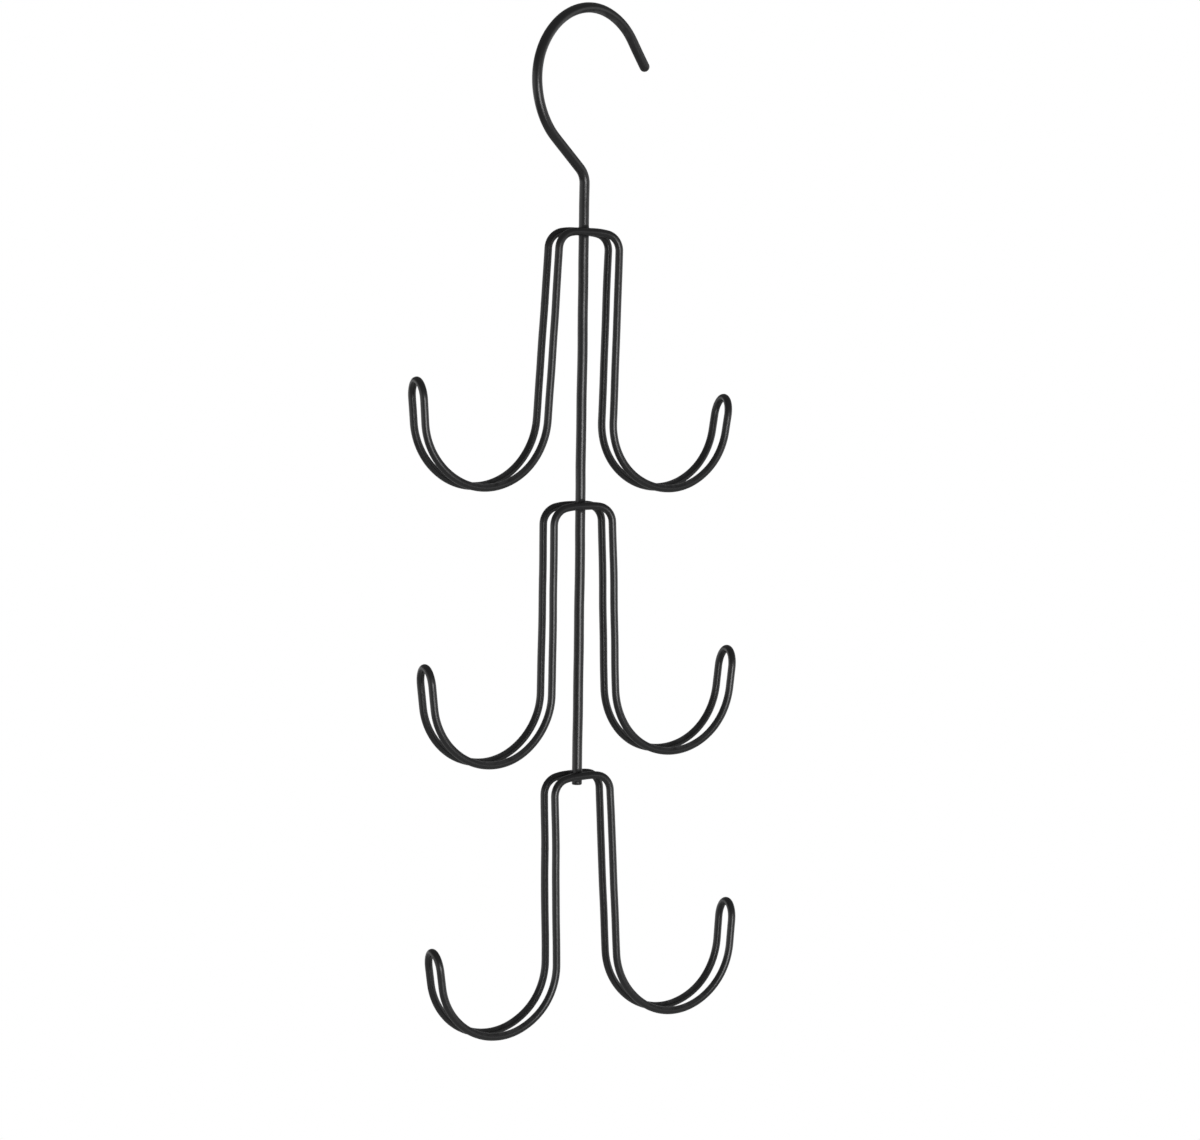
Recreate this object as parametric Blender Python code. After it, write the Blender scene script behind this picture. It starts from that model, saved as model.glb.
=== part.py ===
# Handbag hanger: a steel rod bent into a rail hook, with three welded tiers of doubled wire strap hooks.
# Lengths are in metres, +Z is up. The origin is where the rail touches the underside of the hook's bow.

import bmesh
import bpy
from math import cos, hypot, pi, radians, sin, tan
from mathutils import Matrix, Vector

# Stock
rod_diameter = 0.0040
wire_diameter = 0.0030
seat_gap = 0.0003               # clearance between pieces that are welded together

# Rail hook, drawn in its own upright plane, which is turned a little from the tiers
bow_radius = 0.0300             # centreline of the round bow
bow_offset = 0.0025             # bow centre beside the spine's axis
bow_end_angle = radians(36)     # above level, where the bow ends and the straight tip starts
bow_tip_length = 0.0130
neck_slant = radians(49)        # slanted run between bow and spine, from plumb
neck_height = 0.0230            # upper crossbar up to the corner of the neck
neck_bend_radius = 0.0080
bow_turn = radians(14)
tail_length = 0.0040            # spine left over below the lowest crossbar
tail_chamfer = 0.0004           # broken edge of its cut end

# Tiers, from the top one down
tier_names = ("upper", "middle", "lower")
tier_tilts = (radians(2.5), 0.0, radians(-2.5))    # each tier is welded on at its own slight slant
tier_pitch = 0.1120
crossbar_width = 0.0280         # between the leg centres, where the corners end
crossbar_crown = radians(11)    # each half of the crossbar bows down this far, from the weld to its corner
corner_radius = 0.0070
leg_splay = radians(1.0)
leg_drop = 0.0770               # crossbar down to where the strap hooks start
strap_hook_radius = 0.0280
tip_lean = radians(6.5)         # outward lean of the hook tips
tip_length = 0.0092             # straight part of a tip
tip_bend_height = 0.0075        # from there to the top of the bend in depth
leg_spread = 0.0086             # front wire to back wire at the top of the legs
tip_spread = 0.0100             # and at the tips

# How far the bends of each strap hook stray from those sizes: (left, right), from the top tier down
half_width_strays = ((-0.0002, 0.0009), (0.0009, -0.0011), (-0.0006, -0.0007))
splay_strays = ((radians(0.2), radians(-0.2)), (radians(-0.6), radians(1.1)), (radians(0.2), radians(-0.1)))
hook_radius_strays = ((0.0005, -0.0005), (-0.0005, 0.0002), (-0.0010, 0.0003))
tip_length_strays = ((0.0002, -0.0025), (0.0001, -0.0007), (-0.0023, 0.0003))

# Weld beads, one on each side of the rod at every crossbar
bead_width = 0.0060
bead_height = 0.0054
bead_depth = 0.0038
cut_overrun = 0.0020            # cutters run past what they cut by this much

# Facets
rod_facet_level = 3             # bevel resolution of the rod
wire_facet_level = 3            # bevel resolution of the wire
bow_step = radians(7.5)
hook_step = radians(9)
crown_step = radians(4)
small_bend_step = radians(15)
tip_bend_step = radians(22.5)
dome_steps = 4
bead_segments = 20
bead_rings = 10
cutter_sides = 24

# Worked out from the sizes above
rod_radius = rod_diameter / 2
wire_radius = wire_diameter / 2
crossbar_spread = rod_diameter + wire_diameter + 2 * seat_gap
neck_setback = neck_bend_radius * tan(neck_slant / 2)
neck_run = (bow_radius * cos(neck_slant) - bow_offset) / sin(neck_slant)
bow_height = neck_height + neck_run * cos(neck_slant) + bow_radius * sin(neck_slant)
seat_height = bow_height + bow_radius - rod_radius
spine_x = -bow_offset * cos(bow_turn)
spine_y = -bow_offset * sin(bow_turn)
weld_reach = bead_width / 2     # the crossbar is straight and evenly spaced this far from the rod


def clear_scene():
    for obj in list(bpy.data.objects):
        bpy.data.objects.remove(obj, do_unlink=True)


def new_collection(name):
    collection = bpy.data.collections.new(name)
    bpy.context.scene.collection.children.link(collection)
    return collection


def coat_material(name, colour, roughness, metallic):
    material = bpy.data.materials.new(name)
    material.use_nodes = True
    shader = material.node_tree.nodes["Principled BSDF"]
    shader.inputs["Base Color"].default_value = (*colour, 1.0)
    shader.inputs["Roughness"].default_value = roughness
    shader.inputs["Metallic"].default_value = metallic
    return material


def rod_coat():
    return coat_material("rod_coat", (0.020, 0.020, 0.021), 0.38, 0.0)


def wire_coat(name):
    return coat_material(name + "_coat", (0.024, 0.024, 0.025), 0.42, 0.0)


def bead_coat(name):
    return coat_material(name + "_coat", (0.022, 0.022, 0.023), 0.48, 0.0)


def walk(start, heading, moves):
    """Points along straight runs (length,) and round bends (radius, angle, step), and the last heading."""
    x, z = start
    points = [start]
    for move in moves:
        if len(move) == 1:
            x += move[0] * cos(heading)
            z += move[0] * sin(heading)
            points.append((x, z))
            continue
        radius, angle, step = move
        side = 1 if angle > 0 else -1
        centre_x = x - side * radius * sin(heading)
        centre_z = z + side * radius * cos(heading)
        count = max(2, round(abs(angle) / step))
        for i in range(1, count + 1):
            turned = heading + angle * i / count
            x = centre_x + side * radius * sin(turned)
            z = centre_z - side * radius * cos(turned)
            points.append((x, z))
        heading += angle
    return points, heading


def tube_object(name, points, radii, closed, facet_level, collection):
    """A round rod or wire along the points, with flat caps where it has ends."""
    curve = bpy.data.curves.new(name, "CURVE")
    curve.dimensions = "3D"
    curve.bevel_resolution = facet_level
    curve.bevel_depth = max(radii)
    curve.use_fill_caps = not closed
    spline = curve.splines.new("POLY")
    spline.points.add(len(points) - 1)
    for place, point, radius in zip(spline.points, points, radii):
        place.co = (*point, 1.0)
        place.radius = radius / curve.bevel_depth
    spline.use_cyclic_u = closed
    spline.use_smooth = True
    obj = bpy.data.objects.new(name, curve)
    collection.objects.link(obj)
    return obj


def domed_end(point, heading, radius):
    """Extra points and radii that round off a rod's end like a half ball."""
    points, radii = [], []
    for i in range(1, dome_steps + 1):
        angle = pi / 2 * i / (dome_steps + 1 / 3)
        points.append(Vector(point) + Vector(heading) * radius * sin(angle))
        radii.append(radius * cos(angle))
    return points, radii


def hook_rod(collection):
    """One rod: chamfered stub, spine, neck, bow, and a straight tip with a rounded end."""
    bottom = -(len(tier_names) - 1) * tier_pitch - tail_length
    outline, heading = walk((0.0, bottom), pi / 2, [
        (tail_chamfer,),
        (neck_height - neck_setback - bottom - tail_chamfer,),
        (neck_bend_radius, neck_slant, small_bend_step),
        (neck_run - neck_setback,),
        (bow_radius, bow_end_angle - pi - neck_slant, bow_step),
        (bow_tip_length,),
    ])
    points = [Vector((across, 0.0, up)) for across, up in outline]
    radii = [rod_radius - tail_chamfer] + [rod_radius] * (len(points) - 1)
    dome, dome_radii = domed_end(points[-1], (cos(heading), 0.0, sin(heading)), rod_radius)
    obj = tube_object("hook_rod", points + dome, radii + dome_radii, False, rod_facet_level, collection)
    obj.data.materials.append(rod_coat())
    obj.rotation_euler = (0.0, 0.0, bow_turn)
    return obj


def wire_outline(index, side):
    """One wire from spine to tip, as (across, up), with its last heading and its length up to the leg."""
    half_width = crossbar_width / 2 + half_width_strays[index][side]
    splay = leg_splay + splay_strays[index][side]
    crown_span = half_width - weld_reach - corner_radius * (cos(splay) - sin(crossbar_crown))
    crown_radius = crown_span / sin(crossbar_crown)
    corner_turn = pi / 2 - crossbar_crown - splay
    corner_path = weld_reach + crown_radius * crossbar_crown + corner_radius * corner_turn
    crown_drop = crown_radius * (1 - cos(crossbar_crown))
    corner_drop = crown_drop + corner_radius * (cos(crossbar_crown) - sin(splay))
    outline, heading = walk((0.0, 0.0), 0.0, [
        (weld_reach,),
        (crown_radius, -crossbar_crown, crown_step),
        (corner_radius, -corner_turn, small_bend_step),
        ((leg_drop - corner_drop) / cos(splay),),
        (strap_hook_radius + hook_radius_strays[index][side], pi - splay - tip_lean, hook_step),
        (tip_length + tip_length_strays[index][side],),
    ])
    return outline, heading, corner_path


def half_spreads(outline, corner_path):
    """Half the way from front wire to back wire: least at the weld, opening to the corner and to the tip."""
    lengths = [0.0]
    for (x0, z0), (x1, z1) in zip(outline, outline[1:]):
        lengths.append(lengths[-1] + hypot(x1 - x0, z1 - z0))
    halves = []
    for length in lengths:
        eased = min(1.0, max(0.0, (length - weld_reach) / (corner_path - weld_reach)))
        opened = max(0.0, (length - corner_path) / (lengths[-1] - corner_path))
        spread = crossbar_spread + (leg_spread - crossbar_spread) * eased * eased * (3 - 2 * eased)
        halves.append((spread + (tip_spread - leg_spread) * opened) / 2)
    return halves


def tip_bend(tip, heading):
    """The bend in depth, half an ellipse, that joins the front wire to the back wire beyond a hook's tip."""
    count = round(pi / tip_bend_step)
    points = []
    for i in range(1, count):
        angle = -pi / 2 + pi * i / count
        reach = tip_bend_height * cos(angle)
        depth = tip_spread / 2 * sin(angle)
        points.append((tip[0] + reach * cos(heading), depth, tip[1] + reach * sin(heading)))
    return points


def half_loop(index, side):
    """Half of a tier's loop, drawn to the right: out along the front wire and home along the back one."""
    outline, heading, corner_path = wire_outline(index, side)
    front = [(x, -half, z) for (x, z), half in zip(outline, half_spreads(outline, corner_path))]
    back = [(x, -y, z) for x, y, z in reversed(front)]
    return front + tip_bend(outline[-1], heading) + back


def loop_points(index):
    """A tier's whole closed loop of wire, as (x, y, z) from the middle of its crossbar."""
    left, right = half_loop(index, 0), half_loop(index, 1)
    return right + [(-x, -y, z) for x, y, z in left[1:-1]]


def tier_loop(index, parent, collection):
    name = tier_names[index] + "_loop"
    points = loop_points(index)
    obj = tube_object(name, points, [wire_radius] * len(points), True, wire_facet_level, collection)
    obj.data.materials.append(wire_coat(name))
    obj.rotation_euler = (0.0, tier_tilts[index], 0.0)
    obj.parent = parent
    return obj


def round_cutter(name, radius, length, matrix, parent, collection):
    mesh = bpy.data.meshes.new(name)
    shape = bmesh.new()
    bmesh.ops.create_cone(shape, cap_ends=True, segments=cutter_sides, radius1=radius, radius2=radius,
                          depth=length)
    bmesh.ops.transform(shape, matrix=matrix, verts=shape.verts)
    shape.to_mesh(mesh)
    shape.free()
    obj = bpy.data.objects.new(name, mesh)
    obj.parent = parent
    obj.display_type = "WIRE"
    obj.hide_render = True
    collection.objects.link(obj)
    return obj


def cut(obj, cutter):
    modifier = obj.modifiers.new(cutter.name, "BOOLEAN")
    modifier.operation = "DIFFERENCE"
    modifier.solver = "EXACT"
    modifier.object = cutter


def weld_bead(name, side, tilt, parent, collection, cutters):
    """A fillet of weld metal round the spot where a crossbar wire meets the rod, hollowed to fit both."""
    mesh = bpy.data.meshes.new(name)
    shape = bmesh.new()
    bmesh.ops.create_uvsphere(shape, u_segments=bead_segments, v_segments=bead_rings, radius=1.0)
    middle = side * (rod_radius + seat_gap / 2)
    size = Matrix.Diagonal((bead_width / 2, bead_height / 2, bead_depth / 2, 1.0))
    place = Matrix.Translation((0.0, middle, 0.0)) @ Matrix.Rotation(pi / 2, 4, "X")
    bmesh.ops.transform(shape, matrix=place @ size, verts=shape.verts)
    shape.to_mesh(mesh)
    shape.free()
    mesh.shade_smooth()
    obj = bpy.data.objects.new(name, mesh)
    obj.data.materials.append(bead_coat(name))
    obj.parent = parent
    collection.objects.link(obj)

    length = bead_width + bead_height + cut_overrun
    upright = Matrix.Identity(4)
    rod_cut = round_cutter(name + "_rod_cut", rod_radius + seat_gap, length, upright, parent, cutters)
    along = Matrix.Rotation(tilt, 4, "Y") @ Matrix.Rotation(pi / 2, 4, "Y")
    wire_place = Matrix.Translation((0.0, side * crossbar_spread / 2, 0.0)) @ along
    wire_cut = round_cutter(name + "_wire_cut", wire_radius + seat_gap, length, wire_place, parent, cutters)
    cut(obj, rod_cut)
    cut(obj, wire_cut)
    return obj


def tier(index, parent, collection, cutters):
    name = tier_names[index]
    tilt = tier_tilts[index]
    mark = bpy.data.objects.new(name + "_tier", None)
    mark.empty_display_size = tip_spread
    mark.location = (0.0, 0.0, -index * tier_pitch)
    mark.parent = parent
    collection.objects.link(mark)
    tier_loop(index, mark, collection)
    weld_bead(name + "_front_weld", -1, tilt, mark, collection, cutters)
    weld_bead(name + "_back_weld", 1, tilt, mark, collection, cutters)


def handbag_hanger():
    clear_scene()
    collection = new_collection("handbag_hanger")
    cutters = new_collection("cutters")
    spine = bpy.data.objects.new("spine_axis", None)
    spine.empty_display_size = tip_spread
    spine.location = (spine_x, spine_y, -seat_height)
    collection.objects.link(spine)
    rod = hook_rod(collection)
    rod.parent = spine
    for index in range(len(tier_names)):
        tier(index, spine, collection, cutters)
    bpy.context.view_layer.update()


handbag_hanger()
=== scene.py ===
# A hanger with a round hook and three tiers of doubled wire hooks, dressed for a studio picture:
# satin black powder coat on bent rod and wire. Lengths are in metres. The frame is the packed
# model's, and its origin is the underside of the bow, where the hanger is held.

from math import ceil, cos, hypot, pi, radians, sin, tan

import bmesh
import bpy
import numpy as np
from mathutils import Matrix, Vector, noise


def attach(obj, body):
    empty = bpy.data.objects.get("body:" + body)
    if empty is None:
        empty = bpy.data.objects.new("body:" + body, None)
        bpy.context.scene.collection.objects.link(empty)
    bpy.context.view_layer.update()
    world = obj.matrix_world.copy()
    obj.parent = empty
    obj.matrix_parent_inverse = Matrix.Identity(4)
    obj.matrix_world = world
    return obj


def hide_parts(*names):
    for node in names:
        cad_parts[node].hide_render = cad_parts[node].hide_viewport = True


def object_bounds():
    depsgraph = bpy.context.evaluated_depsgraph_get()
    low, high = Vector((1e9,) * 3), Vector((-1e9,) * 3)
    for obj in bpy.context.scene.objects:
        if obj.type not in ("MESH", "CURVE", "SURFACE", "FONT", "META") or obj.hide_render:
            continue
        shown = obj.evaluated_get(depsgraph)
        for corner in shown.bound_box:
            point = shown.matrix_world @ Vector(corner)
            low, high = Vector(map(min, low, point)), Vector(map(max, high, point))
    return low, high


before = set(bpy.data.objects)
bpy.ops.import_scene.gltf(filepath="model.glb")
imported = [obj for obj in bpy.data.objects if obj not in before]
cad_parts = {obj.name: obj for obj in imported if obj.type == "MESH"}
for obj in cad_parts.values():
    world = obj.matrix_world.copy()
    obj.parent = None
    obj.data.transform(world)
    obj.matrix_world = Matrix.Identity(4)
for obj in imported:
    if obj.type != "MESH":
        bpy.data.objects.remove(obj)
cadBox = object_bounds()
print("frame loaded, nodes:", len(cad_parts))


# Shader and geometry trees

white = (1.0, 1.0, 1.0, 1.0)
noiseMiddle = 0.5               # every noise here runs from 0 to 1


class Term:
    # One output socket, used in plain sums. Values may be numbers or other terms.
    def __init__(self, tree, socket):
        self.tree = tree
        self.socket = socket

    def __getitem__(self, output):
        return Term(self.tree, self.socket.node.outputs[output])

    def maths(self, operation, *values, clamp=False):
        settings = {"operation": operation, "use_clamp": clamp}
        return self.tree.add("ShaderNodeMath", settings, *values)

    def __add__(self, other):
        return self.maths("ADD", self, other)

    def __radd__(self, other):
        return self.maths("ADD", other, self)

    def __sub__(self, other):
        return self.maths("SUBTRACT", self, other)

    def __rsub__(self, other):
        return self.maths("SUBTRACT", other, self)

    def __mul__(self, other):
        return self.maths("MULTIPLY", self, other)

    def __rmul__(self, other):
        return self.maths("MULTIPLY", other, self)

    def __truediv__(self, other):
        return self.maths("DIVIDE", self, other)

    def __rtruediv__(self, other):
        return self.maths("DIVIDE", other, self)

    def clamped(self):
        return self.maths("ADD", self, 0.0, clamp=True)

    def size(self):
        return self.maths("ABSOLUTE", self)

    def eased(self, low, high):  # 0 below low, 1 above high, smooth between
        settings = {"interpolation_type": "SMOOTHSTEP"}
        return self.tree.add("ShaderNodeMapRange", settings, self, low, high, 0.0, 1.0)


class Tree:
    # Adds nodes to a node tree: the type, its settings, then the values or links of its sockets,
    # in order or by name.
    def __init__(self, nodeTree):
        self.nodeTree = nodeTree

    def fill(self, socket, value):
        if isinstance(value, Term):
            self.nodeTree.links.new(value.socket, socket)
        else:
            socket.default_value = value

    def add(self, kind, settings=None, *values, **named):
        node = self.nodeTree.nodes.new(kind)
        for key, setting in (settings or {}).items():
            setattr(node, key, setting)
        for socket, value in zip([s for s in node.inputs if s.enabled], values):
            self.fill(socket, value)
        for key, value in named.items():
            self.fill(node.inputs[key.replace("_", " ")], value)
        shown = [s for s in node.outputs if s.enabled]
        return Term(self, shown[0]) if shown else node

    def vectorMaths(self, operation, *values):
        return self.add("ShaderNodeVectorMath", {"operation": operation}, *values)

    def mixColours(self, share, first, second):
        return self.add("ShaderNodeMix", {"data_type": "RGBA"}, share, first, second)

    def speckle(self, place, size, detail, roughness, shift):  # soft patches about size across
        return self.add("ShaderNodeTexNoise", {"noise_dimensions": "4D"}, Vector=place, W=shift,
                        Scale=1.0 / size, Detail=detail, Roughness=roughness)


# Finishes: black powder coat. Depths are real ones, in metres

rodCoat = {
    "colour": (0.0070, 0.0070, 0.0075, 1.0),
    "roughness": 0.30,
    "ior": 1.56,
    "peelSize": 0.0016,         # the coat's slow orange peel
    "peelDepth": 0.000030,
    "grainSize": 0.00028,
    "grainDepth": 0.0000011,
    "cloudSize": 0.019,         # long drifts of gloss
    "cloudSway": 0.10,
    "grainSway": 0.08,
    "wearShine": 0.15,          # gloss where the coat is rubbed
    "wearColour": (0.040, 0.040, 0.041, 1.0),
    "patchShare": 2.0,          # size of the patches of wear, as a share of the peel's
    "dustSize": 0.00045,
    "dustColour": (0.20, 0.19, 0.18, 1.0),
    "dust": 0.06,
    "driftShare": 0.5,          # size of the drifts of dust, as a share of the clouds'
}
wireCoat = dict(rodCoat, roughness=0.32, peelSize=0.0013, colour=(0.0075, 0.0075, 0.0080, 1.0))
weldCoat = dict(rodCoat, roughness=0.42, peelSize=0.0009, peelDepth=0.000040, cloudSize=0.004,
                dust=0.10)
coatNoises = {
    # detail, roughness and shift of each noise in a coat
    "peel": (1.0, 0.5, 0.0),
    "grain": (2.0, 0.6, 0.0),
    "cloud": (2.0, 0.5, 0.0),
    "dust": (3.0, 0.7, 4.0),
    "drift": (2.0, 0.5, 9.0),
    "patch": (4.0, 0.6, 2.0),
}
coatLimits = {
    # where each mask starts and where it is full
    "dust": (0.62, 0.74),
    "drift": (0.40, 0.65),
    "up": (0.1, 0.9),
    "patch": (0.35, 0.60),
}


def powderCoat(name, look):
    material = bpy.data.materials.new(name)
    material.use_nodes = True
    tree = Tree(material.node_tree)
    shader = material.node_tree.nodes["Principled BSDF"]
    shader.inputs["IOR"].default_value = look["ior"]
    place = tree.add("ShaderNodeTexCoord")["Object"]
    peel = tree.speckle(place, look["peelSize"], *coatNoises["peel"])
    grain = tree.speckle(place, look["grainSize"], *coatNoises["grain"])
    cloud = tree.speckle(place, look["cloudSize"], *coatNoises["cloud"])
    spots = tree.speckle(place, look["dustSize"], *coatNoises["dust"])
    drift = tree.speckle(place, look["cloudSize"] * look["driftShare"], *coatNoises["drift"])
    patch = tree.speckle(place, look["peelSize"] * look["patchShare"], *coatNoises["patch"])
    up = tree.add("ShaderNodeSeparateXYZ", None, tree.add("ShaderNodeNewGeometry")["Normal"])["Z"]
    settled = spots.eased(*coatLimits["dust"]) * drift.eased(*coatLimits["drift"])
    dust = settled * up.eased(*coatLimits["up"]) * look["dust"]
    wear = tree.add("ShaderNodeAttribute", {"attribute_name": "wear"})["Fac"]
    rubbed = wear * patch.eased(*coatLimits["patch"])
    colour = tree.mixColours(rubbed, look["colour"], look["wearColour"])
    tree.fill(shader.inputs["Base Color"], tree.mixColours(dust, colour, look["dustColour"]))
    sway = (cloud - noiseMiddle) * look["cloudSway"] + (grain - noiseMiddle) * look["grainSway"]
    rough = look["roughness"] + sway - rubbed * look["wearShine"] + dust
    tree.fill(shader.inputs["Roughness"], rough.clamped())
    coarse = tree.add("ShaderNodeBump", None, Strength=1.0, Distance=look["peelDepth"],
                      Height=peel)
    fine = tree.add("ShaderNodeBump", None, Strength=1.0, Distance=look["grainDepth"],
                    Height=grain, Normal=coarse)
    tree.fill(shader.inputs["Normal"], fine)
    return material


finishes = {
    "rod_coat": powderCoat("rodCoat", rodCoat),
    "wire_coat": powderCoat("wireCoat", wireCoat),
    "weld_coat": powderCoat("weldCoat", weldCoat),
}
print("finishes made:", len(finishes))


# Stock and layout shared by all pieces

stock = {
    "rod": 0.0040,              # diameters
    "wire": 0.0030,
    "coat": 0.0001,             # the powder coat's thickness, on top of the bare steel
    "seatGap": 0.0003,          # rod to crossbar, bridged by the welds
    "ringGap": 0.0010,          # between the rings of a sweep, at most
    "fewestRings": 2,           # in each straight run and bend
}
hanger = {
    "tiers": ("upper", "middle", "lower"),
    "tilts": (radians(2.5), 0.0, radians(-2.5)),
    "pitch": 0.1120,
    "weldReach": 0.0030,        # each crossbar is straight and close this far from the rod's axis
    "slackShares": (2.0, 6.0),  # of that reach: rod and wire start to sway, and sway fully
}
hookSizes = {
    "bowRadius": 0.0300,
    "bowOffset": 0.0025,        # bow centre beside the spine's axis
    "bowEnd": radians(36),
    "bowTip": 0.0130,
    "neckSlant": radians(49),
    "neckHeight": 0.0230,
    "neckBend": 0.0080,
    "turn": radians(14),        # the bow's plane against the tiers
    "tail": 0.0040,
    "tailRound": 0.00045,       # broken edge of the cut end
    "tailSteps": 6,
    "tipSteps": 12,             # rings in the tip's rounded end
    "tipShort": 0.2,            # of a step: the last ring stops this short of the very end
    "heldShare": 0.55,          # of the bow, rubbed where it is held
}
rodRadius = stock["rod"] / 2
rodSkin = rodRadius + stock["coat"]
wireSkin = stock["wire"] / 2 + stock["coat"]
crossbarSpread = stock["rod"] + stock["wire"] + 2 * stock["seatGap"]
neckRun = (hookSizes["bowRadius"] * cos(hookSizes["neckSlant"])
           - hookSizes["bowOffset"]) / sin(hookSizes["neckSlant"])
bowHeight = (hookSizes["neckHeight"] + neckRun * cos(hookSizes["neckSlant"])
             + hookSizes["bowRadius"] * sin(hookSizes["neckSlant"]))
seatHeight = bowHeight + hookSizes["bowRadius"] - rodRadius
# The rod's axis where it passes the upper crossbar
spine = Vector((-hookSizes["bowOffset"] * cos(hookSizes["turn"]),
                -hookSizes["bowOffset"] * sin(hookSizes["turn"]),
                -seatHeight))


def tierHome(index):  # the rod's axis where it passes this tier's crossbar
    return spine - Vector((0.0, 0.0, index * hanger["pitch"]))


def eased(value, low, high):
    share = min(1.0, max(0.0, (value - low) / (high - low)))
    return share * share * (3 - 2 * share)


def slackAt(distance):  # how freely rod or wire sways this far from a weld, from 0 to 1
    start, full = [share * hanger["weldReach"] for share in hanger["slackShares"]]
    return eased(distance, start, full)


def walk(start, heading, moves):
    # Points along straight runs (length, 0.0) and bends (radius, angle), each with the distance
    # walked and the heading there.
    x, z = start
    walked = 0.0
    steps = [(x, z, walked, heading)]
    for size, turn in moves:
        length = abs(size * turn) if turn else size
        count = max(stock["fewestRings"], ceil(length / stock["ringGap"]))
        side = 1 if turn > 0 else -1
        centre = (x - side * size * sin(heading), z + side * size * cos(heading))
        for i in range(1, count + 1):
            far = length * i / count
            now = heading + turn * i / count
            if turn:
                spot = (centre[0] + side * size * sin(now), centre[1] - side * size * cos(now))
            else:
                spot = (x + far * cos(heading), z + far * sin(heading))
            steps.append((*spot, walked + far, now))
        x, z, walked, heading = steps[-1]
    return steps


def newObject(name, data):
    made = bpy.data.objects.new(name, data)
    bpy.context.scene.collection.objects.link(made)
    return made


# Sweeps: a round section along a path, which thickens, sways a little and notes where it is rubbed

sweep = {
    "Sides": 32,
    "Sway": 0.00060,            # hand bent wire is never quite true
    "Sway Length": 0.042,
    "Swell": 0.022,             # share by which the coat's thickness drifts
    "Swell Length": 0.006,
    "Seed": 3.0,
}
sweepNoise = {
    "texture": (1.0, 0.5),      # detail and roughness of sway and swell
    "swellShift": 5.0,          # keeps the swell apart from the sway
}


def sweepTree():
    group = bpy.data.node_groups.new("sweepRound", "GeometryNodeTree")
    face = group.interface
    face.new_socket("Path", in_out="INPUT", socket_type="NodeSocketGeometry")
    face.new_socket("Sides", in_out="INPUT", socket_type="NodeSocketInt")
    for name in ("Sway", "Sway Length", "Swell", "Swell Length", "Seed"):
        face.new_socket(name, in_out="INPUT", socket_type="NodeSocketFloat")
    face.new_socket("Finish", in_out="INPUT", socket_type="NodeSocketMaterial")
    face.new_socket("Swept", in_out="OUTPUT", socket_type="NodeSocketGeometry")
    tree = Tree(group)
    given = tree.add("NodeGroupInput")
    place = tree.add("GeometryNodeInputPosition")
    slack = tree.add("GeometryNodeInputNamedAttribute", {"data_type": "FLOAT"}, "slack")
    width = tree.add("GeometryNodeInputNamedAttribute", {"data_type": "FLOAT"}, "width")
    rub = tree.add("GeometryNodeInputNamedAttribute", {"data_type": "FLOAT_VECTOR"}, "rub")
    swayNoise = tree.speckle(place, given["Sway Length"], *sweepNoise["texture"],
                             given["Seed"])["Color"]
    centred = tree.vectorMaths("SUBTRACT", swayNoise, (noiseMiddle, noiseMiddle, noiseMiddle))
    amount = slack * given["Sway"] * 2.0        # twice, because the noise now runs half each way
    offset = tree.vectorMaths("SCALE", centred, amount)
    curve = tree.add("GeometryNodeMeshToCurve", None, given["Path"])
    swayed = tree.add("GeometryNodeSetPosition", None, Geometry=curve, Offset=offset)
    swellNoise = tree.speckle(place, given["Swell Length"], *sweepNoise["texture"],
                              given["Seed"] + sweepNoise["swellShift"])
    radius = width * (1.0 + (swellNoise - noiseMiddle) * given["Swell"] * slack)
    section = tree.add("GeometryNodeCurvePrimitiveCircle", {"mode": "RADIUS"},
                       Resolution=given["Sides"], Radius=1.0)
    skin = tree.add("GeometryNodeCurveToMesh", None, Curve=swayed, Profile_Curve=section,
                    Scale=radius, Fill_Caps=True)
    normal = tree.add("GeometryNodeInputNormal")
    facing = tree.vectorMaths("DOT_PRODUCT", normal, rub)["Value"]
    worn = tree.add("GeometryNodeStoreNamedAttribute", {"data_type": "FLOAT", "domain": "POINT"},
                    Geometry=skin, Name="wear", Value=facing.clamped())
    smooth = tree.add("GeometryNodeSetShadeSmooth", None, Geometry=worn)
    solid = tree.add("GeometryNodeRealizeInstances", None, smooth)
    coated = tree.add("GeometryNodeSetMaterial", None, Geometry=solid, Material=given["Finish"])
    tree.add("NodeGroupOutput", None, coated)
    return group


sweepGroup = sweepTree()


def sweepPiece(name, points, widths, slacks, rubs, closed, slotName, node):
    # The path goes in as a line of edges that carries its widths, slack and rubbed side.
    path = bpy.data.meshes.new(name + "Path")
    edges = [(i, i + 1) for i in range(len(points) - 1)]
    if closed:
        edges.append((len(points) - 1, 0))
    path.from_pydata([tuple(p) for p in points], edges, [])
    path.attributes.new("width", "FLOAT", "POINT").data.foreach_set("value", widths)
    path.attributes.new("slack", "FLOAT", "POINT").data.foreach_set("value", slacks)
    flatRubs = [v for r in rubs for v in r]
    path.attributes.new("rub", "FLOAT_VECTOR", "POINT").data.foreach_set("vector", flatRubs)
    maker = newObject(name + "Maker", path)
    modifier = maker.modifiers.new("sweep", "NODES")
    modifier.node_group = sweepGroup
    values = dict(sweep, Finish=finishes[slotName])
    for item in sweepGroup.interface.items_tree:
        if item.in_out == "INPUT" and item.name in values:
            modifier[item.identifier] = values[item.name]
    bpy.context.view_layer.update()
    swept = maker.evaluated_get(bpy.context.evaluated_depsgraph_get())
    made = bpy.data.meshes.new_from_object(swept)
    maker.modifiers.remove(modifier)
    bpy.data.objects.remove(maker)
    piece = newObject(name, made)
    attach(piece, "root")
    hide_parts(node)


# The hook rod: cut stub, spine, neck, bow and a straight tip with a rounded end

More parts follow.
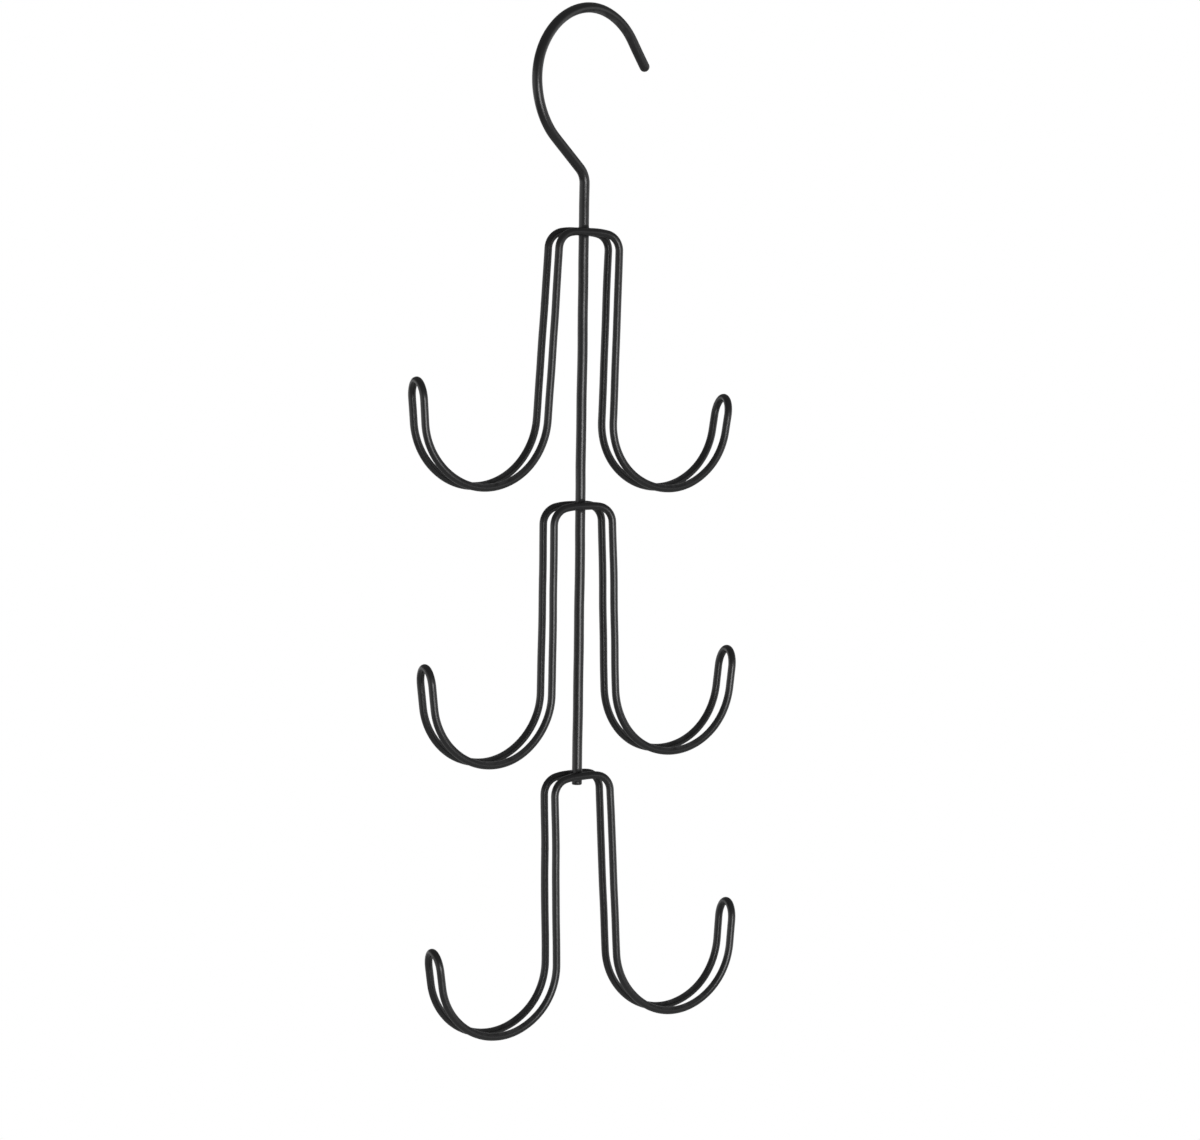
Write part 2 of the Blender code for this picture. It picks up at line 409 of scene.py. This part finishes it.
def hookRod():
    sizes = hookSizes
    bottom = -(len(hanger["tiers"]) - 1) * hanger["pitch"] - sizes["tail"]
    setback = sizes["neckBend"] * tan(sizes["neckSlant"] / 2)
    steps = walk((0.0, bottom), pi / 2, [
        (sizes["neckHeight"] - setback - bottom, 0.0),
        (sizes["neckBend"], sizes["neckSlant"]),
        (neckRun - setback, 0.0),
        (sizes["bowRadius"], sizes["bowEnd"] - pi - sizes["neckSlant"]),
        (sizes["bowTip"], 0.0),
    ])
    outline = []
    edge = sizes["tailRound"]
    for i in range(sizes["tailSteps"]):         # the stub's broken edge
        angle = pi / 2 * i / sizes["tailSteps"]
        outline.append((0.0, bottom + edge * (1 - cos(angle)), rodSkin - edge * (1 - sin(angle))))
    outline += [(x, z, rodSkin) for x, z, _, _ in steps if z > bottom + edge]
    x, z, _, heading = steps[-1]
    for i in range(1, sizes["tipSteps"] + 1):   # the tip's rounded end
        angle = pi / 2 * i / (sizes["tipSteps"] + sizes["tipShort"])
        reach = rodSkin * sin(angle)
        outline.append((x + reach * cos(heading), z + reach * sin(heading), rodSkin * cos(angle)))
    turn = Matrix.Rotation(sizes["turn"], 4, "Z")
    bowCentre = Vector((sizes["bowOffset"], 0.0, bowHeight))
    points, widths, slacks, rubs = [], [], [], []
    for x, z, width in outline:
        inward = bowCentre - Vector((x, 0.0, z))
        nearWeld = min(abs(z + k * hanger["pitch"]) for k in range(len(hanger["tiers"])))
        points.append(spine + turn @ Vector((x, 0.0, z)))
        widths.append(width)
        slacks.append(slackAt(nearWeld))
        height = -inward.z / sizes["bowRadius"]
        worn = eased(height, 1 - sizes["heldShare"], 1.0) if z > bowHeight else 0.0
        rubs.append(turn @ inward.normalized() * worn)
    sweepPiece("hookRod", points, widths, slacks, rubs, False, "rod_coat", "hook_rod")


hookRod()
print("hook rod made")


# The tier loops: one endless wire each, bent to a crossbar, legs and side hooks, with a bend in
# depth at each tip

loopSizes = {
    "crossbarWidth": 0.0280,
    "crown": radians(11),       # each half of the crossbar bows down this far
    "cornerRadius": 0.0070,
    "legSplay": radians(1.0),
    "legDrop": 0.0770,
    "hookRadius": 0.0280,
    "tipLean": radians(6.5),
    "tipLength": 0.0092,
    "tipBendHeight": 0.0075,
    "tipBendSteps": 24,
    "legSpread": 0.0086,        # front wire to back wire at the top of the legs
    "tipSpread": 0.0100,
    "rubStart": 0.55,           # share of the radius below a hook's centre where wear starts
    "seamDrop": 0.0300,         # the ring of the loop's own butt weld, down the back left leg
    "seamRise": 0.00004,
    "seamReach": 0.0009,
    # How far each hook's bends stray from these sizes: (left, right), from the top tier down
    "halfWidthStrays": ((-0.0002, 0.0009), (0.0009, -0.0011), (-0.0006, -0.0007)),
    "splayStrays": ((radians(0.2), radians(-0.2)), (radians(-0.6), radians(1.1)),
                    (radians(0.2), radians(-0.1))),
    "hookRadiusStrays": ((0.0005, -0.0005), (-0.0005, 0.0002), (-0.0010, 0.0003)),
    "tipLengthStrays": ((0.0002, -0.0025), (0.0001, -0.0007), (-0.0023, 0.0003)),
}


def halfLoop(index, side):
    # Half a loop drawn to the right: out along the front wire and home along the back one.
    sizes = loopSizes
    halfWidth = sizes["crossbarWidth"] / 2 + sizes["halfWidthStrays"][index][side]
    splay = sizes["legSplay"] + sizes["splayStrays"][index][side]
    hookRadius = sizes["hookRadius"] + sizes["hookRadiusStrays"][index][side]
    crownSpan = (halfWidth - hanger["weldReach"]
                 - sizes["cornerRadius"] * (cos(splay) - sin(sizes["crown"])))
    crownRadius = crownSpan / sin(sizes["crown"])
    cornerTurn = pi / 2 - sizes["crown"] - splay
    cornerDrop = (crownRadius * (1 - cos(sizes["crown"]))
                  + sizes["cornerRadius"] * (cos(sizes["crown"]) - sin(splay)))
    cornerPath = (hanger["weldReach"] + crownRadius * sizes["crown"]
                  + sizes["cornerRadius"] * cornerTurn)
    steps = walk((0.0, 0.0), 0.0, [
        (hanger["weldReach"], 0.0),
        (crownRadius, -sizes["crown"]),
        (sizes["cornerRadius"], -cornerTurn),
        ((sizes["legDrop"] - cornerDrop) / cos(splay), 0.0),
        (hookRadius, pi - splay - sizes["tipLean"]),
        (sizes["tipLength"] + sizes["tipLengthStrays"][index][side], 0.0),
    ])
    total = steps[-1][2]
    quarter = []
    for x, z, walked, _ in steps:
        opened = eased(walked, hanger["weldReach"], cornerPath)
        beyond = max(0.0, (walked - cornerPath) / (total - cornerPath))
        spread = crossbarSpread + (sizes["legSpread"] - crossbarSpread) * opened
        spread += (sizes["tipSpread"] - sizes["legSpread"]) * beyond
        quarter.append((x, -spread / 2, z))
    x, z, _, heading = steps[-1]
    bend = []
    for i in range(1, sizes["tipBendSteps"]):
        angle = -pi / 2 + pi * i / sizes["tipBendSteps"]
        reach = sizes["tipBendHeight"] * cos(angle)
        bend.append((x + reach * cos(heading), sizes["tipSpread"] / 2 * sin(angle),
                     z + reach * sin(heading)))
    return quarter + bend + [(x, -y, z) for x, y, z in reversed(quarter)]


def tierLoop(index):
    sizes = loopSizes
    name = hanger["tiers"][index]
    left, right = halfLoop(index, 0), halfLoop(index, 1)
    ring = right + [(-x, -y, z) for x, y, z in left[1:-1]]
    turn = Matrix.Rotation(hanger["tilts"][index], 4, "Y")
    home = tierHome(index)
    hookZ = -sizes["legDrop"]
    points, widths, slacks, rubs = [], [], [], []
    for x, y, z in ring:
        centreX = (sizes["crossbarWidth"] / 2 + sizes["hookRadius"]) * (1 if x > 0 else -1)
        inward = Vector((centreX - x, 0.0, hookZ - z))
        depth = inward.z / sizes["hookRadius"]
        worn = eased(depth, sizes["rubStart"], 1.0) if z < hookZ else 0.0
        atSeam = x < 0 and y > 0 and abs(x) < sizes["crossbarWidth"]
        offSeam = eased(abs(z + sizes["seamDrop"]), 0.0, sizes["seamReach"])
        rise = sizes["seamRise"] * (1 - offSeam) if atSeam else 0.0
        points.append(home + turn @ Vector((x, y, z)))
        widths.append(wireSkin + rise)
        slacks.append(slackAt(hypot(x, z)))
        rubs.append(turn @ inward.normalized() * worn)
    sweepPiece(name + "Loop", points, widths, slacks, rubs, True, "wire_coat", name + "_loop")


for tierIndex in range(len(hanger["tiers"])):
    tierLoop(tierIndex)
print("tier loops made")


# The welds: metal drawn up between rod and crossbar, in rows that run round their contact from
# the rod to the wire

weldSizes = {
    "blend": 0.0021,            # how widely rod and wire flow together
    "dive": 0.00006,            # the weld's borders hide this deep in rod and wire
    "diveShare": 0.35,
    "ripple": 0.00010,          # dies out towards the borders
    "rippleSize": 0.0009,
    "rippleShift": (7.0, 3.0, 1.0),     # from tier to tier, front to back, and for all
    "columns": 128,
    "rows": 40,
    "reach": 0.0060,            # wide enough for every row
    "halvings": 40,
    "leastAcross": 0.001,       # keeps the first guess of the reach off a division by zero
}


def weldRow(lean, side, tilt):
    # One closed row of the weld, and its outward directions. Lean is -1 on the rod and 1 on the
    # wire.
    sizes = weldSizes
    share = 1.0 - abs(lean)
    hidden = 1.0 - min(1.0, share / sizes["diveShare"])
    lift = share ** 2 * sizes["blend"] / 4 - sizes["dive"] * hidden ** 2
    fromRod = rodSkin + lift + max(0.0, lean) * sizes["blend"]
    fromWire = wireSkin + lift + max(0.0, -lean) * sizes["blend"]
    angles = np.arange(sizes["columns"]) * 2 * pi / sizes["columns"]
    across, upward = np.cos(angles), np.sin(angles)
    overWire = across * sin(tilt) + upward * cos(tilt)
    low = np.zeros(sizes["columns"])
    widest = fromRod / np.maximum(np.abs(across), sizes["leastAcross"])
    high = np.minimum(sizes["reach"], widest)
    for _ in range(sizes["halvings"]):
        half = (low + high) / 2
        depth = np.sqrt(np.maximum(fromRod ** 2 - (half * across) ** 2, 0.0))
        inside = (depth - crossbarSpread / 2) ** 2 + (half * overWire) ** 2 < fromWire ** 2
        low, high = np.where(inside, half, low), np.where(inside, high, half)
    depth = np.sqrt(np.maximum(fromRod ** 2 - (low * across) ** 2, 0.0))
    offRod = np.stack((low * across, side * depth, np.zeros_like(low)), -1) / fromRod
    offWire = np.stack((low * overWire * sin(tilt), side * (depth - crossbarSpread / 2),
                        low * overWire * cos(tilt)), -1)
    outward = offRod * (1.0 - lean) / 2 + offWire / fromWire * (1.0 + lean) / 2
    return np.stack((low * across, side * depth, low * upward), -1), outward


def weldFillet(index, side):
    sizes = weldSizes
    name = hanger["tiers"][index]
    word = "front" if side < 0 else "back"
    home = tierHome(index)
    tierShift, sideShift, allShift = sizes["rippleShift"]
    seed = Vector((index * tierShift, side * sideShift, allShift))
    shape = bmesh.new()
    rows = []
    for j in range(sizes["rows"] + 1):
        lean = 2.0 * j / sizes["rows"] - 1.0
        ripple = sizes["ripple"] * (1.0 - abs(lean))
        row = []
        for spot, outward in zip(*weldRow(lean, side, hanger["tilts"][index])):
            lump = ripple * noise.noise(Vector(spot) / sizes["rippleSize"] + seed)
            row.append(shape.verts.new(home + Vector(spot) + Vector(outward) * lump))
        rows.append(row)
    inRod = shape.verts.new(home + Vector((0.0, side * rodRadius / 2, 0.0)))
    inWire = shape.verts.new(home + Vector((0.0, side * crossbarSpread / 2, 0.0)))
    for i in range(sizes["columns"]):
        after = (i + 1) % sizes["columns"]
        shape.faces.new((inRod, rows[0][i], rows[0][after]))
        shape.faces.new((inWire, rows[-1][i], rows[-1][after]))
        for row, following in zip(rows, rows[1:]):
            shape.faces.new((row[i], row[after], following[after], following[i]))
    bmesh.ops.recalc_face_normals(shape, faces=shape.faces)
    mesh = bpy.data.meshes.new(name + word.capitalize() + "Weld")
    shape.to_mesh(mesh)
    shape.free()
    mesh.shade_smooth()
    mesh.materials.append(finishes["weld_coat"])
    piece = newObject(mesh.name, mesh)
    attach(piece, "root")
    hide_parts(name + "_" + word + "_weld")


for tierIndex in range(len(hanger["tiers"])):
    weldFillet(tierIndex, -1)
    weldFillet(tierIndex, 1)
print("welds made")


# Studio: white backdrop, pale floor, one wide soft lamp at the camera's right, and white walls
# all round, lighter on two sides

camera = {
    "place": (-0.7749, -1.2818, -0.0723),
    "yaw": radians(31.41),      # from +Y towards +X
    "pitch": radians(-5.91),
    "roll": radians(0.76),
    "focusPixels": 3654.0,      # focal length in pixels of the 1200 pixel wide picture
    "pictureWidth": 1200.0,
    "sensor": 36.0,
}
towardCamera = Vector((-sin(camera["yaw"]), -cos(camera["yaw"]), 0.0))
cameraRight = Vector((cos(camera["yaw"]), -sin(camera["yaw"]), 0.0))
middleHeight = (cadBox[0].z + cadBox[1].z) / 2

studio = {
    "ambient": 0.50,            # world light on diffuse surfaces
    "wallDim": 0.35,            # the white walls all round, as gloss shows them
    "wallSides": (
        # and their lighter sides, to the camera's left and right: turn from the camera's side,
        # brightness, and the cosines where each starts and is full
        (radians(-105), 0.98, 0.10, 0.75),
        (radians(118), 0.90, 0.55, 0.90),
    ),
    "wallDark": 0.20,           # above and below them
    "wallLevel": -0.10,         # their middle, as the height of a unit direction
    "wallRise": (0.12, 0.40),   # past these distances from their middle they fade and end
}
keyLamp = {
    "turn": radians(30),        # from the camera's side
    "distance": 2.20,
    "height": -0.44,
    "width": 1.30,
    "length": 0.58,
    "watts": 20.0,
}
floorSizes = {
    "height": -0.62,
    "reach": 0.62,
    "segments": 2,
    "shadeReach": 0.12,         # past this the floor fades into the white backdrop
    "fadeReach": 0.50,
    "glow": 0.55,               # share of it that shows plain white at the middle
    "glossLevel": 0.35,         # that white as gloss shows it
    "colour": (0.88, 0.88, 0.875, 1.0),
}


def makeCamera():
    sizes = camera
    forward = Vector((sin(sizes["yaw"]) * cos(sizes["pitch"]),
                      cos(sizes["yaw"]) * cos(sizes["pitch"]),
                      sin(sizes["pitch"])))
    upright = cameraRight.cross(forward)
    right = cameraRight * cos(sizes["roll"]) + upright * sin(sizes["roll"])
    up = upright * cos(sizes["roll"]) - cameraRight * sin(sizes["roll"])
    data = bpy.data.cameras.new("pictureCamera")
    data.sensor_width = sizes["sensor"]
    data.lens = sizes["focusPixels"] / sizes["pictureWidth"] * sizes["sensor"]
    eye = newObject("pictureCamera", data)
    turn = Matrix((right, up, -forward)).transposed().to_4x4()
    eye.matrix_world = Matrix.Translation(Vector(sizes["place"])) @ turn
    bpy.context.scene.camera = eye


def makeWorld():
    world = bpy.data.worlds.new("studioWorld")
    bpy.context.scene.world = world
    world.use_nodes = True
    world.node_tree.nodes.clear()
    tree = Tree(world.node_tree)
    direction = tree.add("ShaderNodeTexCoord")["Generated"]
    level = tree.add("ShaderNodeSeparateXYZ", None, direction)["Z"]
    inWall = 1.0 - (level - studio["wallLevel"]).size().eased(*studio["wallRise"])
    walls = studio["wallDim"]
    for turn, bright, start, full in studio["wallSides"]:
        wall = Matrix.Rotation(turn, 3, "Z") @ towardCamera
        toward = tree.vectorMaths("DOT_PRODUCT", direction, tuple(wall))["Value"]
        walls = toward.eased(start, full) * (bright - studio["wallDim"]) + walls
    gloss = studio["wallDark"] + inWall * (walls - studio["wallDark"])
    rays = tree.add("ShaderNodeLightPath")
    seen = rays["Is Camera Ray"]
    mirrored = (rays["Is Glossy Ray"] + rays["Is Transmission Ray"]).clamped()
    strength = seen + (1.0 - seen) * (mirrored * gloss + (1.0 - mirrored) * studio["ambient"])
    shade = tree.add("ShaderNodeBackground", None, Color=white, Strength=strength)
    tree.add("ShaderNodeOutputWorld", None, shade)


def makeLamp():
    sizes = keyLamp
    data = bpy.data.lights.new("keyStrip", "AREA")
    data.shape = "RECTANGLE"
    data.size = sizes["width"]
    data.size_y = sizes["length"]
    data.energy = sizes["watts"]
    lamp = newObject("keyStrip", data)
    lamp.visible_camera = False
    place = Matrix.Rotation(sizes["turn"], 3, "Z") @ towardCamera * sizes["distance"]
    place.z = sizes["height"]
    aim = Vector((0.0, 0.0, middleHeight)) - place
    turn = aim.to_track_quat("-Z", "Y").to_matrix().to_4x4()
    lamp.matrix_world = Matrix.Translation(place) @ turn


def makeFloor():
    sizes = floorSizes
    mesh = bpy.data.meshes.new("studioFloor")
    shape = bmesh.new()
    bmesh.ops.create_grid(shape, x_segments=sizes["segments"], y_segments=sizes["segments"],
                          size=sizes["reach"])
    bmesh.ops.translate(shape, vec=(0.0, 0.0, sizes["height"]), verts=shape.verts)
    shape.to_mesh(mesh)
    shape.free()
    floor = newObject("studioFloor", mesh)
    material = bpy.data.materials.new("floorPaint")
    material.use_nodes = True
    material.node_tree.nodes.clear()
    tree = Tree(material.node_tree)
    place = tree.add("ShaderNodeTexCoord")["Object"]
    flat = tree.vectorMaths("MULTIPLY", place, (1.0, 1.0, 0.0))
    away = tree.vectorMaths("LENGTH", flat)["Value"]
    rays = tree.add("ShaderNodeLightPath")
    mirrored = rays["Is Glossy Ray"]
    seen = (rays["Is Camera Ray"] + mirrored + rays["Is Transmission Ray"]).clamped()
    faded = away.eased(sizes["shadeReach"], sizes["fadeReach"])
    fade = (sizes["glow"] + faded * (1.0 - sizes["glow"])) * seen
    paint = tree.add("ShaderNodeBsdfDiffuse", None, Color=sizes["colour"])
    level = 1.0 - mirrored * (1.0 - sizes["glossLevel"])
    glow = tree.add("ShaderNodeEmission", None, Color=white, Strength=level)
    surface = tree.add("ShaderNodeMixShader", None, fade, paint, glow)
    tree.add("ShaderNodeOutputMaterial", None, surface)
    mesh.materials.append(material)


makeCamera()
makeWorld()
makeLamp()
makeFloor()
bpy.context.scene.view_settings.view_transform = "Standard"
print("studio made")

bpy.context.view_layer.update()
